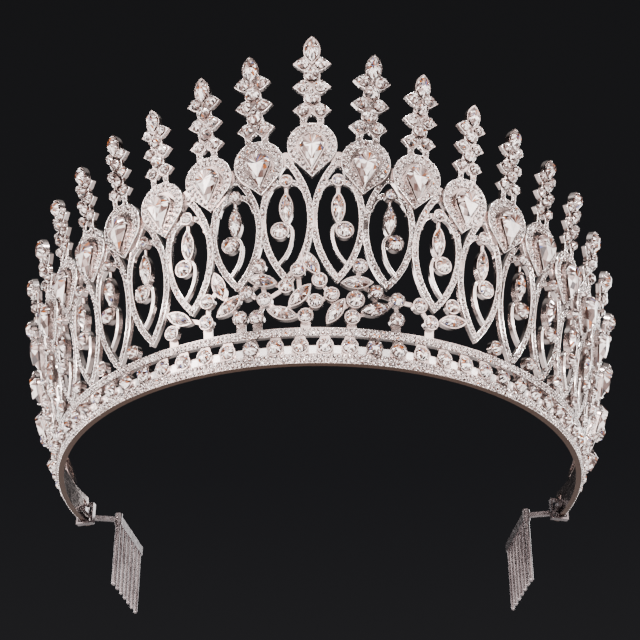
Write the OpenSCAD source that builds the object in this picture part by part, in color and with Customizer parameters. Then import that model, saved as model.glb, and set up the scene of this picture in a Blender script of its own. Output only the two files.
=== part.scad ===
// Pageant crown: an open horseshoe band that carries a pierced wall of pointed ovals,
// medallions and spikes set with clear stones, and a hair comb wired to each end.
// Millimetres. The front is towards -Y, and the wearer's head comes in from below.
// The origin is the centre of the band's circle, level with its lower edge.

/* [Crown] */
// Outside diameter of the band at its lower edge
band_d = 160; // [144:2:180]
// Height of the front spike's tip above the lower edge, measured along the wall
crown_h = 100.8; // [94:0.2:108]
// How far the tips of the spikes stand out beyond the band's lower edge
tips_out = 16; // [12:0.5:18]
// Angle from one spike to the next
spike_step = 9.4; // [9.1:0.1:9.7]
// Spikes on each side of the front one
side_spikes = 11; // [8:1:11]

/* [Band] */
// Height of the band, measured along the wall
band_h = 10.2; // [9.6:0.1:11]
// Thickness of the cast metal of the band and of the ovals
wall_t = 1.3; // [1:0.1:1.6]
// Lean of the band outwards from upright
band_lean = 9.5; // [7:0.5:12]
// Height of the solid rail below the band's gaps
low_rail_h = 5.2; // [4.8:0.1:5.5]
// Height of the solid rail above the band's gaps
high_rail_h = 2.3; // [2:0.1:2.8]
// Height of the raised strip along the band's lower edge
pave_h = 2.8; // [2.4:0.1:3.2]
// Diameter of the round stones along the band, two to a spike
band_stone_d = 3.7; // [3.4:0.1:4]
// Gaps cut through the band on each side of the front
side_gaps = 12; // [6:1:14]

/* [Ovals] */
// Width of an oval's rim
oval_rim = 1.8; // [1.5:0.1:2.1]
// How far the rims of two neighbours run into each other
oval_join = 0.45; // [0.3:0.05:0.6]
// Width of the scroll wire and the stems
wire_w = 1; // [0.8:0.1:1.2]
// Length of the marquise stone in an oval
marquise_l = 8.3; // [7.5:0.1:8.6]
// Width of the marquise stone in an oval
marquise_w = 3; // [2.8:0.1:3.4]
// Diameter of the round stone in an oval
oval_round_d = 4.2; // [3.6:0.1:4.4]
// Diameter of the small stone at the top of an oval
oval_top_d = 2.8; // [2.4:0.1:3]

/* [Medallions] */
// Radius of a medallion's round top
medallion_r = 7.1; // [6.4:0.1:7.4]
// Distance from the centre of that round down to the medallion's point
medallion_drop = 10; // [9.5:0.1:10.5]
// Width of the raised halo round the pear stone
halo_w = 2.5; // [2:0.1:2.7]
// Radius of the pear stone's round end
pear_r = 3.45; // [3.1:0.05:3.5]
// Distance from the centre of that round to the pear stone's point
pear_drop = 7.5; // [6.8:0.1:7.8]

/* [Spikes] */
// Thickness of the spikes' and medallions' plate
spike_t = 1.2; // [1:0.1:1.5]
// Height of the leaves and the halo above that plate
relief_h = 0.3; // [0.2:0.05:0.5]
// Height of the round buds between the leaves above that plate
bud_h = 0.6; // [0.4:0.1:0.8]
// Length of the marquise stone at a spike's tip
tip_stone_l = 7.5; // [7:0.1:8]
// Width of the marquise stone at a spike's tip
tip_stone_w = 4; // [3.7:0.1:4.3]
// Length of a leaf
leaf_l = 5.7; // [5.4:0.1:6.1]
// Width of a leaf
leaf_w = 4.6; // [4.3:0.1:4.9]

/* [Settings] */
// Clearance between a stone and its metal
stone_gap = 0.12; // [0.1:0.01:0.15]
// Thickness of the wall round a stone
bezel_t = 0.35; // [0.3:0.05:0.45]
// Height of the wall round a stone
bezel_h = 0.8; // [0.5:0.1:1]
// Height of the round and marquise stones
stone_h = 2; // [1.6:0.1:2.4]
// Height of the pear stones
pear_h = 3; // [2.6:0.1:3.4]

/* [Combs] */
// Width of a comb across its teeth
comb_w = 27; // [24:1:32]
// Length of a comb's teeth
tooth_l = 22; // [16:1:25]
// Teeth on a comb
teeth = 7; // [6:1:8]
// Diameter of a tooth
tooth_d = 1.3; // [1:0.1:1.6]
// Diameter of the bead at the head of a comb's front tooth
comb_bead_d = 2.4; // [2:0.1:3]
// Height of the arm that runs from the band to a comb
arm_h = 1.4; // [1.2:0.1:2]
// Height of a comb's spine
spine_h = 3; // [2.4:0.2:3.6]
// Thickness of a comb's spine
spine_t = 1.6; // [1.2:0.1:2]

/* [Hidden] */
// The wall from the front spike back. As shares of crown_h: tip of the spike, centre of the
// medallion's stone, foot of the oval behind the spike. Then the tiers of leaves, the share
// of tips_out that the tip reaches, the spike's turn to its own side in degrees, and the
// size of the medallion
TIP = 0;
STONE = 1;
FOOT = 2;
TIERS = 3;
OUT = 4;
TURN = 5;
SIZE = 6;
WALL = [
  [1.000, 0.617, 0.231, 3, 1.00, 0, 1],
  [0.943, 0.565, 0.221, 3, 1.00, 3.5, 1],
  [0.900, 0.539, 0.177, 3, 1.00, 1.5, 1],
  [0.839, 0.496, 0.123, 3, 1.00, 2, 1],
  [0.815, 0.481, 0.095, 3, 1.00, 0, 1],
  [0.786, 0.467, 0.095, 3, 0.94, 0, 1],
  [0.758, 0.443, 0.095, 3, 0.90, 0, 1],
  [0.706, 0.411, 0.095, 2, 0.85, 0, 1],
  [0.655, 0.373, 0.095, 2, 0.84, 0, 1],
  [0.595, 0.334, 0.095, 2, 0.84, 0, 0.95],
  [0.503, 0.285, 0.095, 1, 0.86, 0, 0.86],
  [0.379, 0.216, 0.095, 0, 0.95, 0, 0.75],
];

// Front spray between the ovals and the band: kind, place in spike steps to the right of
// the front, height as a share of crown_h, and turn of a marquise from level or size of a round
MARQUISE = 0;
ROUND = 1;
SPRAY = [
  [ROUND, -2.98, 0.141, 1],
  [MARQUISE, -2.78, 0.176, -30],
  [ROUND, -2.18, 0.146, 1],
  [ROUND, -2.14, 0.206, 1],
  [MARQUISE, -1.88, 0.244, -75],
  [MARQUISE, -1.68, 0.181, 36],
  [ROUND, -1.46, 0.141, 1],
  [ROUND, -1.32, 0.212, 1],
  [ROUND, -1.12, 0.138, 1],
  [ROUND, -0.95, 0.188, 1],
  [MARQUISE, -1.00, 0.244, -15],
  [ROUND, -1.06, 0.288, 1],
  [MARQUISE, -0.60, 0.144, -18],
  [ROUND, -0.52, 0.223, 1],
  [ROUND, -0.28, 0.269, 1],
  [MARQUISE, -0.25, 0.193, 47],
  [ROUND, -0.14, 0.135, 1],
  [MARQUISE, -0.04, 0.289, -58],
  [ROUND, 0.06, 0.176, 1],
  [ROUND, 0.14, 0.238, 1],
  [ROUND, 0.38, 0.196, 1],
  [MARQUISE, 0.46, 0.147, 57],
  [ROUND, 0.79, 0.132, 1],
  [ROUND, 0.85, 0.183, 1.25],
  [MARQUISE, 0.88, 0.233, 5],
  [ROUND, 0.94, 0.283, 1],
  [ROUND, 1.26, 0.209, 1],
  [MARQUISE, 1.25, 0.159, 15],
  [ROUND, 1.70, 0.136, 1],
  [ROUND, 1.70, 0.193, 1],
  [ROUND, 2.17, 0.188, 1],
  [ROUND, 2.42, 0.144, 1],
  [ROUND, 2.88, 0.205, 1],
  [MARQUISE, 2.90, 0.161, 12],
];
// Stems that join the spray's settings, by their rows above
STEMS = [
  [0, 1], [1, 2], [2, 3], [3, 4], [4, 5], [5, 6], [5, 7], [7, 9], [8, 9], [9, 10], [7, 10],
  [10, 13], [10, 11], [12, 9], [12, 16], [13, 14], [13, 9], [14, 15], [15, 18], [15, 12],
  [14, 17], [17, 19], [18, 16], [18, 20], [19, 20], [20, 21], [21, 23], [23, 22], [23, 24],
  [24, 25], [24, 26], [26, 27], [27, 22], [26, 29], [27, 29], [28, 29], [29, 30], [30, 31],
  [31, 33], [32, 33],
];
// Settings below this height stand on the band
LOW_SPRAY = 0.16;
// Behind the spray a round stone stands on the band at most spikes, from this one back
FIRST_FOOT_STONE = 4;
FOOT_STONE = 0.127;

// Offsets down from an oval's top, for an oval of full height
FULL_OVAL_H = 38;
TOP_STONE_DROP = 8;
ARCH_DROP = 13.4;
ARCH_R = 4.8;
MARQUISE_DROP = 16.6;
ROUND_DROP = 23.3;
ROUND_SIDE = 1.8;
SCROLL_TURN_R = 2.8;
SCROLL_SWEEP_R = 13.2;
SCROLL_OUT = 0.6;

// Heights above a medallion's stone, and the sizes of a spike with leaves 7.4 apart
OVAL_TOP_UP = 2.8;
WEB_DROP = 1;
WEB_D = 4.4;
HALO_UP = 3.2;
PEAR_UP = 2.5;
NECK_UP = 9.6;
LEAF_PITCH = 7.4;
LEAF_DROP = 8.8;
LEAF_SIDE = 2.1;
BUD_D = 4.9;
LEG_SIDE = 2.4;
LEG_W = 2;

band_r = band_d / 2;
band_top_r = band_r + band_h * sin(band_lean);
band_top_z = band_h * cos(band_lean);
band_end = (side_spikes + 0.45) * spike_step;
gap_h = band_h - low_rail_h - high_rail_h;
// The strips along both edges of the band stand out from it
strip_t = 0.35;
// Band stones stand on the low rail, two to a spike, and a neck ties each to the high rail
band_stone_s = low_rail_h - 0.3;
band_stone_step = spike_step / 2;
side_band_stones = 2 * side_spikes;
band_neck_w = 2.4;
tie_gap_angle = band_end - 2.2;
// The spikes' plate overlaps the ovals' plate, which ends at the wall's outer face
spike_z = -0.6;
setting_grow = bezel_t + stone_gap;
// A setting stands this far into the plate below it, and its seat is a little above the plate
setting_root = 1;
seat_up = 0.1;

// Comb: its spine runs back from the first point to the second, as seen from above
comb_in = 10.5;
comb_turn = 8;
arm_t = 1.2;
arm_gap = 0.2;
arm_lap = 8;
tie_w = 1.8;
tie_t = 0.6;

SIDES = ["left", "right"];
function side_sign(side) = side == "left" ? -1 : 1;
function pear_name(k) =
  k == 0 ? "pear_stone_front"
  : str("pear_stone_", k < 0 ? "left_" : "right_", abs(k));
PEARS = [for (k = [-side_spikes:side_spikes]) pear_name(k)];

// The wall's table at spike k, or between two spikes where u is not whole
function wall_row(u) = WALL[min(abs(u), side_spikes)];
function wall_share(u, column) =
  (wall_row(floor(abs(u)))[column] + wall_row(ceil(abs(u)))[column]) / 2;
function wall_at(u, column) = crown_h * wall_share(u, column);
function tip_s(k) = crown_h * wall_row(k)[TIP];
function stone_s(k) = crown_h * wall_row(k)[STONE];
function oval_top(u) = wall_at(u, STONE) + OVAL_TOP_UP;
function oval_foot(u) = crown_h * wall_row(floor(abs(u)))[FOOT];
function oval_h(u) = oval_top(u) - oval_foot(u);
function oval_scale(u) = min(1, oval_h(u) / FULL_OVAL_H);

// Lean of the wall above the band, which brings the tip to its own circle
function tip_r(u) = band_r + tips_out * wall_share(u, OUT);
function lean(u) = asin((tip_r(u) - band_top_r) / (wall_at(u, TIP) - band_h));
function wall_r(u, s) = band_top_r + (s - band_h) * sin(lean(u));
// Half the way to the neighbour, on the plane that touches the wall at u
function half_step(u, s) = wall_r(u, s) * tan(spike_step / 2);
function oval_w(u) =
  2 * (half_step(u, (oval_top(u) + oval_foot(u)) / 2) + oval_join);

// Heights on spike k above its medallion's stone
function tip_up(k) = tip_s(k) - stone_s(k);
function tip_stone_up(k) =
  tip_up(k) - tip_stone_l * spike_scale(k) / 2 - 2 * setting_grow;
function medallion_scale(k) = wall_row(k)[SIZE];
function neck_up(k) = NECK_UP * medallion_scale(k);
function leaf_pitch(k) = (tip_up(k) - neck_up(k) - 6) / max(1, wall_row(k)[TIERS]);
function spike_scale(k) =
  wall_row(k)[TIERS] == 0 ? 0.85 : min(1, max(0.78, leaf_pitch(k) / LEAF_PITCH));
function leaf_up(k, tier) = tip_up(k) - LEAF_DROP * spike_scale(k) - tier * leaf_pitch(k);

// Local axes on the wall: x along it, y up it from height s, z out of it
module on_wall(u, s) {
  rotate([0, 0, u * spike_step])
    translate([0, -band_top_r, band_top_z])
      rotate([lean(u), 0, 0])
        translate([0, 0, s - band_h])
          rotate([90, 0, 0])
            children();
}

// The same about the centre of spike k's medallion stone, with the spike's own turn
module on_spike(k) {
  on_wall(k, stone_s(k))
    rotate([0, 0, -sign(k) * wall_row(k)[TURN]])
      children();
}

// The same on the band, at an angle from the front
module on_band(angle, s) {
  rotate([0, 0, angle])
    translate([0, -band_r, 0])
      rotate([band_lean, 0, 0])
        translate([0, 0, s])
          rotate([90, 0, 0])
            children();
}

// Flat outlines
module marquise(l, w) {
  r = (l * l + w * w) / (4 * w);
  intersection() {
    translate([r - w / 2, 0]) circle(r, $fn = 180);
    translate([w / 2 - r, 0]) circle(r, $fn = 180);
  }
}

module marquise_rim(l, w, rim) {
  r = (l * l + w * w) / (4 * w);
  difference() {
    marquise(l, w);
    intersection() {
      translate([r - w / 2, 0]) circle(r - rim, $fn = 180);
      translate([w / 2 - r, 0]) circle(r - rim, $fn = 180);
    }
  }
}

// Round top with a point straight below it. Its straight sides run a little inside the
// round's tangents, so that they cross the round instead of touching it
SIDE_IN = 0.99;
module teardrop(r, drop) {
  y = SIDE_IN * SIDE_IN * r * r / drop;
  x = sqrt(SIDE_IN * SIDE_IN * r * r - y * y);
  circle(r, $fn = 96);
  polygon([[0, -drop], [x, -y], [-x, -y]]);
}

module disc(d) {
  circle(d = d, $fn = 48);
}

module bar(from, to, w) {
  d = to - from;
  translate((from + to) / 2)
    rotate(atan2(d.y, d.x))
      square([norm(d), w], center = true);
}

// Part of a ring between two angles less than 90 degrees apart
module arc_band(r, w, from, to) {
  intersection() {
    difference() {
      circle(r + w / 2, $fn = 96);
      circle(r - w / 2, $fn = 96);
    }
    polygon([[0, 0], 2 * r * [cos(from), sin(from)], 2 * r * [cos(to), sin(to)]]);
  }
}

// Outlines of stones, as points
function marquise_points(l, w, steps = 5) =
  let (r = (l * l + w * w) / (4 * w), half = asin(l / 2 / r))
  concat(
    [for (i = [0:steps - 1]) let (a = half * (2 * i / steps - 1))
      [r * cos(a) - r + w / 2, r * sin(a)]],
    [for (i = [0:steps - 1]) let (a = 180 + half * (2 * i / steps - 1))
      [r * cos(a) + r - w / 2, r * sin(a)]]
  );
function round_points(d, n = 10) =
  [for (i = [0:n - 1]) d / 2 * [cos(360 * i / n), sin(360 * i / n)]];
function teardrop_points(r, drop, steps = 10) =
  let (low = -asin(SIDE_IN * r / drop) - acos(SIDE_IN))
  concat(
    [for (i = [0:steps]) let (a = low + (180 - 2 * low) * i / steps) r * [cos(a), sin(a)]],
    [[0, -drop]]
  );

// Cut stone that stands on a flat seat: pavilion, girdle, facets and table
GIRDLE_UP = 0.38;
SEAT_SHARE = 0.72;
TABLE_SHARE = 0.56;
module cut_stone(outline, h) {
  n = len(outline);
  rings = [[SEAT_SHARE, 0], [1, GIRDLE_UP * h], [TABLE_SHARE, h]];
  points = [for (ring = rings) for (p = outline) [p.x * ring[0], p.y * ring[0], ring[1]]];
  seat = [for (i = [0:n - 1]) i];
  table = [for (i = [n - 1:-1:0]) 2 * n + i];
  facets = [for (k = [0:1]) for (i = [0:n - 1]) let (j = (i + 1) % n)
    [k * n + i, (k + 1) * n + i, (k + 1) * n + j, k * n + j]];
  polyhedron(points = points, faces = concat([seat, table], facets));
}

// Band
function band_point(s, out) = [band_r + s * sin(band_lean) + out, s * cos(band_lean)];
module band_wall() {
  rotate([0, 0, -90 - band_end])
    rotate_extrude(angle = 2 * band_end, $fn = 180)
      polygon([
        band_point(0, -wall_t),
        band_point(0, strip_t),
        band_point(pave_h, strip_t),
        band_point(pave_h, 0),
        band_point(band_h - high_rail_h, 0),
        band_point(band_h - high_rail_h, strip_t),
        band_point(band_h, strip_t),
        band_point(band_h, -wall_t),
      ]);
}

module band_gap(angle) {
  half_pitch = band_r * tan(band_stone_step / 2);
  foot = half_pitch - band_stone_d / 2 - setting_grow + 0.35;
  head = half_pitch - band_neck_w / 2;
  on_band(angle, low_rail_h)
    translate([0, 0, -2 * wall_t])
      linear_extrude(4 * wall_t)
        polygon([[-foot, 0], [foot, 0], [head, gap_h], [-head, gap_h]]);
}

module tie_slot(side) {
  on_band(side_sign(side) * tie_gap_angle, low_rail_h)
    translate([-tie_w / 2 - 0.4, 0, -2 * wall_t])
      cube([tie_w + 0.8, gap_h, 3 * wall_t]);
}

module band() {
  difference() {
    band_wall();
    for (i = [-side_gaps:side_gaps]) band_gap(i * band_stone_step);
    for (side = SIDES) tie_slot(side);
  }
  for (i = [-side_band_stones:side_band_stones - 1])
    on_band((i + 0.5) * band_stone_step, band_stone_s)
      difference() {
        translate([0, 0, -0.6]) cylinder(d = band_stone_d + 2 * setting_grow, h = 0.6 + bezel_h, $fn = 48);
        translate([0, 0, seat_up]) cylinder(d = band_stone_d + 2 * stone_gap, h = 2 * bezel_h, $fn = 48);
      }
}

// Ovals: places inside one are measured down from its top, to the side of its own half
function oval_side(u) = u < 0 ? -1 : 1;
function oval_place(u, x, drop) =
  [oval_side(u) * x * oval_scale(u), oval_top(u) - drop * oval_scale(u) - band_h];

// Scroll wire from the marquise's foot, round the stone and down to the rim
module scroll() {
  centre = [-ROUND_SIDE, -ROUND_DROP];
  turn_x = centre.x + SCROLL_OUT;
  turn_y = centre.y - 0.4;
  translate([turn_x, turn_y]) arc_band(SCROLL_TURN_R, wire_w, -1, 78);
  translate([turn_x + SCROLL_TURN_R - SCROLL_SWEEP_R, turn_y])
    arc_band(SCROLL_SWEEP_R, wire_w, -50, 1);
}

// Half the opening between an oval's rims, at a drop from its top
function oval_half(u, drop) =
  let (l = oval_h(u), w = oval_w(u), r = (l * l + w * w) / (4 * w))
  sqrt(pow(r - oval_rim, 2) - pow(l / 2 - drop, 2)) - r + w / 2;

// Arch below the top stone, run out to the rims
module oval_arch(u) {
  f = oval_scale(u);
  inner = min(f * ARCH_R, oval_half(u, f * ARCH_DROP));
  outer = max(inner + 1.4, oval_half(u, f * ARCH_DROP) + 0.5);
  intersection() {
    translate([0, -oval_h(u) / 2]) marquise(oval_h(u), oval_w(u));
    translate([0, -f * ARCH_DROP])
      difference() {
        circle(outer, $fn = 96);
        circle(inner, $fn = 96);
      }
    translate([-oval_w(u) / 2, -f * ARCH_DROP]) square(oval_w(u));
  }
}

module oval_outline(u) {
  f = oval_scale(u);
  top = oval_top(u) - band_h;
  translate([0, top - oval_h(u) / 2]) marquise_rim(oval_h(u), oval_w(u), oval_rim);
  translate([0, top]) oval_arch(u);
  translate([0, top - WEB_DROP]) disc(WEB_D);
  translate([0, top]) scale(f) mirror([u > 0 ? 1 : 0, 0]) scroll();
  bar(oval_place(u, 0, TOP_STONE_DROP), oval_place(u, 0, MARQUISE_DROP), wire_w);
}

// Outlines of the three stones in an oval, grown by a clearance or a setting
module oval_settings(u, grow) {
  f = oval_scale(u);
  translate(oval_place(u, 0, TOP_STONE_DROP)) disc(oval_top_d * f + 2 * grow);
  translate(oval_place(u, 0, MARQUISE_DROP))
    marquise(marquise_l * f + 4 * grow, marquise_w * f + 2 * grow);
  translate(oval_place(u, ROUND_SIDE, ROUND_DROP)) disc(oval_round_d * f + 2 * grow);
}

module oval(u) {
  on_wall(u, band_h) {
    translate([0, 0, -wall_t]) linear_extrude(wall_t) oval_outline(u);
    difference() {
      translate([0, 0, -setting_root]) linear_extrude(setting_root + bezel_h) oval_settings(u, setting_grow);
      translate([0, 0, seat_up]) linear_extrude(2 * bezel_h) oval_settings(u, stone_gap);
    }
  }
}

// Spikes: leaves in pairs with a bud between two pairs, above a medallion
module leaves(k, grow) {
  g = spike_scale(k);
  r = leaf_w / 2 * g;
  for (tier = [0:1:wall_row(k)[TIERS] - 1])
    for (side = [-1, 1])
      translate([side * LEAF_SIDE * g, leaf_up(k, tier)])
        rotate(side * 90) teardrop(r + grow / 2, leaf_l * g - r + 0.7 * grow);
}

module buds(k, grow) {
  for (tier = [0:1:wall_row(k)[TIERS] - 2])
    translate([0, leaf_up(k, tier) - leaf_pitch(k) / 2])
      disc(BUD_D * spike_scale(k) + grow);
}

// Raised faces of the spike, kept clear of the stone at its tip
module spike_relief(k) {
  g = spike_scale(k);
  difference() {
    leaves(k, -0.5);
    translate([0, tip_stone_up(k)]) tip_outline(g, stone_gap + 0.1);
  }
}

module spike_outline(k) {
  g = spike_scale(k);
  last = max(0, wall_row(k)[TIERS] - 1);
  leg_top = wall_row(k)[TIERS] == 0 ? tip_up(k) - tip_stone_l * g : leaf_up(k, last);
  m = medallion_scale(k);
  leaves(k, 0);
  buds(k, 0);
  // Two legs with a hole between them, under the lowest leaves
  for (side = [-1, 1])
    bar([side * LEG_SIDE * g, neck_up(k) - 1.5], [side * LEG_SIDE * g, leg_top], LEG_W * g);
  if (abs(k) == side_spikes)
    bar([0, (HALO_UP - medallion_drop) * m + 1.5], [0, band_h - stone_s(k) - 0.8], LEG_W);
  bar([0, leg_top - 0.5], [0, tip_stone_up(k)], LEG_W * g);
  translate([0, HALO_UP * m]) teardrop(medallion_r * m, medallion_drop * m);
}

module halo(m) {
  difference() {
    teardrop(medallion_r * m - 0.15, medallion_drop * m - 0.22);
    teardrop((medallion_r - halo_w) * m, (medallion_drop - 1.5 * halo_w) * m);
  }
}

module tip_outline(g, grow) {
  marquise(tip_stone_l * g + 4 * grow, tip_stone_w * g + 2 * grow);
}

module pear_outline(m, grow) {
  teardrop(pear_r * m + grow, pear_drop * m + 2 * grow);
}

pear_seat = spike_z + spike_t + 1;
tip_seat = spike_z + spike_t;

module spike(k) {
  g = spike_scale(k);
  m = medallion_scale(k);
  on_spike(k) {
    translate([0, 0, spike_z]) linear_extrude(spike_t) spike_outline(k);
    linear_extrude(tip_seat + relief_h) {
      spike_relief(k);
      translate([0, HALO_UP * m]) halo(m);
    }
    linear_extrude(tip_seat + bud_h) buds(k, -0.4);
    translate([0, tip_stone_up(k)])
      difference() {
        translate([0, 0, spike_z + 0.2])
          linear_extrude(spike_t - 0.2 + bezel_h) tip_outline(g, setting_grow);
        translate([0, 0, tip_seat + seat_up]) linear_extrude(2 * bezel_h) tip_outline(g, stone_gap);
      }
    translate([0, PEAR_UP * m])
      difference() {
        linear_extrude(pear_seat + bezel_h) pear_outline(m, setting_grow);
        translate([0, 0, pear_seat]) linear_extrude(2 * bezel_h) pear_outline(m, stone_gap);
      }
  }
}

// Spray: each setting stands on the wall, and low stems run between them
spray_round_d = 3.3;
spray_l = 0.87 * marquise_l;
spray_w = 0.97 * marquise_w;
stem_top = -0.35;
// Ovals on each side that the spray reaches
spray_ovals = 3;
// Place of a row on the plane that touches the wall at u
function row_xy(row, u) =
  let (s = row[2] * crown_h)
  [(row[1] - u) * spike_step * PI / 180 * wall_r(u, s), s - band_h];

// Round stones that stand on the band behind the spray, in rows as above
FOOT_STONES = [for (k = [FIRST_FOOT_STONE:side_spikes - 2]) for (side = [-1, 1])
  [ROUND, side * k, FOOT_STONE, 1]];
function rows(kind) = [for (row = concat(SPRAY, FOOT_STONES)) if (row[0] == kind) row];

module on_row(row) {
  on_wall(row[1], row[2] * crown_h)
    rotate([0, 0, row[0] == MARQUISE ? row[3] - 90 : 0])
      children();
}

module spray_setting(row, grow) {
  if (row[0] == MARQUISE)
    marquise(spray_l + 4 * grow, spray_w + 2 * grow);
  else
    disc(row[3] * spray_round_d + 2 * grow);
}

module stem(u, from, to, w) {
  on_wall(u, band_h)
    translate([0, 0, stem_top - 0.5]) linear_extrude(0.5) bar(from, to, w);
}

module spray_stems() {
  for (row = rows(ROUND))
    if (row[2] < LOW_SPRAY)
      stem(row[1], row_xy(row, row[1]), [0, -0.6], 2.6 * wire_w);
  for (pair = STEMS) {
    from = SPRAY[pair[0]];
    to = SPRAY[pair[1]];
    u = (from[1] + to[1]) / 2;
    stem(u, row_xy(from, u), row_xy(to, u), 1.2 * wire_w);
  }
}

module spray_settings() {
  for (row = concat(rows(MARQUISE), rows(ROUND)))
    on_row(row)
      translate([0, 0, -setting_root])
        linear_extrude(setting_root + bezel_h) spray_setting(row, setting_grow);
}

// Room for the spray's stones, cut from their settings and from the ovals in front
module spray_room() {
  for (row = concat(rows(MARQUISE), rows(ROUND)))
    on_row(row)
      translate([0, 0, seat_up]) linear_extrude(2 * bezel_h) spray_setting(row, stone_gap);
}

module crown_frame() {
  color("silver") {
    band();
    for (k = [-side_spikes:side_spikes]) spike(k);
    for (k = [spray_ovals:side_spikes - 1])
      for (side = [-1, 1])
        oval(side * (k + 0.5));
    difference() {
      union() {
        for (k = [-spray_ovals:spray_ovals - 1]) oval(k + 0.5);
        spray_settings();
      }
      spray_room();
    }
    spray_stems();
  }
}

// Stones
stone_z = seat_up + stone_gap;
module band_stones() {
  color("lavender")
    for (i = [-side_band_stones:side_band_stones - 1])
      on_band((i + 0.5) * band_stone_step, band_stone_s)
        translate([0, 0, stone_z]) cut_stone(round_points(band_stone_d), stone_h);
}

module oval_marquises() {
  color("lavender")
    for (k = [-side_spikes:side_spikes - 1])
      on_wall(k + 0.5, band_h)
        translate(concat(oval_place(k + 0.5, 0, MARQUISE_DROP), stone_z))
          cut_stone(oval_scale(k + 0.5) * marquise_points(marquise_l, marquise_w), stone_h);
}

module oval_rounds() {
  color("lavender")
    for (k = [-side_spikes:side_spikes - 1])
      on_wall(k + 0.5, band_h)
        translate(concat(oval_place(k + 0.5, ROUND_SIDE, ROUND_DROP), stone_z))
          cut_stone(round_points(oval_scale(k + 0.5) * oval_round_d), stone_h);
}

module oval_top_stones() {
  color("lavender")
    for (k = [-side_spikes:side_spikes - 1])
      on_wall(k + 0.5, band_h)
        translate(concat(oval_place(k + 0.5, 0, TOP_STONE_DROP), stone_z))
          cut_stone(round_points(oval_scale(k + 0.5) * oval_top_d, 8), stone_h);
}

module tip_stones() {
  color("lavender")
    for (k = [-side_spikes:side_spikes]) {
      g = spike_scale(k);
      on_spike(k)
        translate([0, tip_stone_up(k), tip_seat + stone_z])
          cut_stone(marquise_points(tip_stone_l * g, tip_stone_w * g), 1.2 * stone_h);
    }
}

module spray_stones(kind) {
  color("lavender")
    for (row = rows(kind))
      on_row(row)
        translate([0, 0, stone_z])
          if (kind == MARQUISE)
            cut_stone(marquise_points(spray_l, spray_w), stone_h);
          else
            cut_stone(row[3] * round_points(spray_round_d, 8), stone_h);
}

module pear_stone(k) {
  color("lavender")
    on_spike(k)
      translate([0, PEAR_UP * medallion_scale(k), pear_seat + stone_gap])
        cut_stone(medallion_scale(k) * teardrop_points(pear_r, pear_drop), pear_h);
}

// Combs
module comb_right() {
  start = [(band_r - comb_in) * sin(band_end), -(band_r - comb_in) * cos(band_end) + 4];
  finish = start + comb_w * [-sin(comb_turn), cos(comb_turn)];
  inner = band_r - wall_t - arm_gap - arm_t / 2;
  lap = arm_lap / band_r * 180 / PI;
  on_arm = inner * [sin(band_end - lap), -cos(band_end - lap)];
  off_arm = inner * [sin(band_end), -cos(band_end)];
  color("silver") {
    translate([0, 0, 1]) linear_extrude(spine_h) bar(start, finish, spine_t);
    translate([0, 0, 0.6]) linear_extrude(spine_h + 0.8) translate(start) circle(d = comb_bead_d, $fn = 24);
    translate([0, 0, 1 + (spine_h - arm_h) / 2])
      linear_extrude(arm_h) {
        bar(on_arm, off_arm, arm_t);
        bar(off_arm, start, arm_t);
        translate(off_arm) circle(d = 1.3 * arm_t, $fn = 24);
      }
    for (i = [0:teeth - 1]) {
      d = i == 0 ? 1.3 * tooth_d : tooth_d;
      translate(concat(start + (finish - start) * i / (teeth - 0.7), 1 + spine_h / 2 - tooth_l)) {
        cylinder(d = d, h = tooth_l, $fn = 24);
        sphere(d = d, $fn = 24);
      }
    }
  }
}

module comb(side) {
  mirror([side == "left" ? 1 : 0, 0, 0]) comb_right();
}

// Tie: a closed wire loop round the band's low rail and the comb's arm
module tie_loop(h, inside, outside) {
  translate([-tie_w / 2, outside, 0]) cube([tie_w, inside - outside, h]);
}

module comb_tie(side) {
  hole_in = -(band_r - wall_t - arm_gap - arm_t) + 0.35;
  hole_out = -(band_r + low_rail_h * sin(band_lean)) - strip_t - 0.2;
  hole_h = low_rail_h + 0.5;
  color("silver")
    rotate([0, 0, side_sign(side) * tie_gap_angle])
      difference() {
        translate([0, 0, -0.2 - tie_t]) tie_loop(hole_h + 2 * tie_t, hole_in + tie_t, hole_out - tie_t);
        translate([0, 0, -0.2]) scale([2, 1, 1]) tie_loop(hole_h, hole_in, hole_out);
      }
}

crown_frame();
band_stones();
oval_marquises();
oval_rounds();
oval_top_stones();
tip_stones();
spray_stones(MARQUISE);  // spray_marquises
spray_stones(ROUND);  // spray_rounds
for (k = [-side_spikes:side_spikes])
  pear_stone(k);
for (side = SIDES) {
  comb(side);
  comb_tie(side);
}
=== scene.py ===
"""Pageant crown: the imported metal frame, dressed with finely cut foil-backed stones,
pave fields, claws and polished edges. Lengths below are millimetres until a mesh is made."""
import math
import random

import bpy
import numpy as np
from mathutils import Matrix, Vector


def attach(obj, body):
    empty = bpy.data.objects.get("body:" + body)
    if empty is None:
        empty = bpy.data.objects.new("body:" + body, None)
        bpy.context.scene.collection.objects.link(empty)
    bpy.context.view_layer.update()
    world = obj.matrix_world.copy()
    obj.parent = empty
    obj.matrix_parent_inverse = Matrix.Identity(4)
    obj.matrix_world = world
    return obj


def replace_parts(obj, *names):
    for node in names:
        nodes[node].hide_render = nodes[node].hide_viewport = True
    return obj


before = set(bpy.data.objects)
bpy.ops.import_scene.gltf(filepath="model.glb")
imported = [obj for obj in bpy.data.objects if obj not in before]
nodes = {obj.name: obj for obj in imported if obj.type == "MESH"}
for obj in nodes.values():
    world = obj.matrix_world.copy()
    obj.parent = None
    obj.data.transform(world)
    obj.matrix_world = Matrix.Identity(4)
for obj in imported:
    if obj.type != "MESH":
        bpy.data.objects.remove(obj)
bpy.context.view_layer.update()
MM = 0.001

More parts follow.
